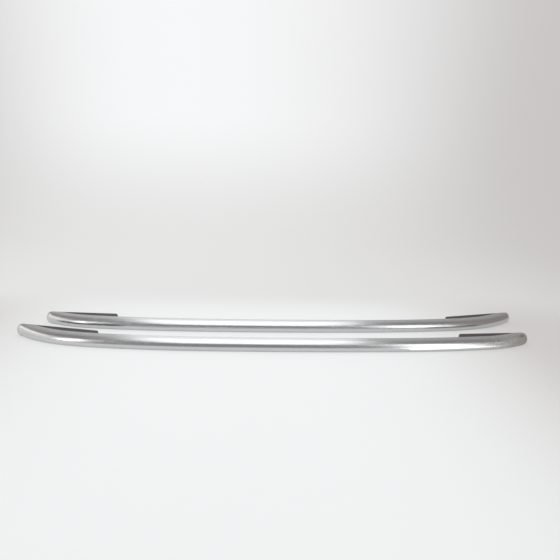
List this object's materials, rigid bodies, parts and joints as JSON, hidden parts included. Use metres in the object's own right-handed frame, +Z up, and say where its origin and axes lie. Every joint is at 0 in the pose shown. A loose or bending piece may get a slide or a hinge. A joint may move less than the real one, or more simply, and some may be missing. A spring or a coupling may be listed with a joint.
{
  "type": "roof rails",
  "caption": "Bent hollow aluminium roof rails lying side by side, with rounded noses, dark wedge-shaped feet, gaskets and threaded studs for bolting to a car roof.",
  "frame": {"origin": "on the floor below the middle of the pair's bounding box", "axes": "+X along the rails, +Y from the crowns to the feet, +Z up from the floor they lie on"},
  "size_m": [1.851, 0.2989, 0.04],
  "materials": {
    "anodised_aluminium": "satin anodised, brushed lengthwise",
    "foot_plastic": "fine grain",
    "gasket_rubber": "matt",
    "cast_aluminium": "as cast",
    "plated_steel": "zinc plated",
    "screw_steel": "zinc plated",
    "seal_foam": "closed-cell foam"
  },
  "bodies": {
    "root": {"left_rail": "anodised_aluminium", "left_front_foot": "foot_plastic", "left_front_gasket": "gasket_rubber", "left_front_anchor": "cast_aluminium", "left_front_studs": "plated_steel", "left_front_screws": "screw_steel", "left_front_stud_seals": "seal_foam", "left_rear_foot": "foot_plastic", "left_rear_gasket": "gasket_rubber", "left_rear_anchor": "cast_aluminium", "left_rear_studs": "plated_steel", "left_rear_screws": "screw_steel", "left_rear_stud_seals": "seal_foam", "right_rail": "anodised_aluminium", "right_front_foot": "foot_plastic", "right_front_gasket": "gasket_rubber", "right_front_anchor": "cast_aluminium", "right_front_studs": "plated_steel", "right_front_screws": "screw_steel", "right_front_stud_seals": "seal_foam", "right_rear_foot": "foot_plastic", "right_rear_gasket": "gasket_rubber", "right_rear_anchor": "cast_aluminium", "right_rear_studs": "plated_steel", "right_rear_screws": "screw_steel", "right_rear_stud_seals": "seal_foam"}
  },
  "joints": []
}
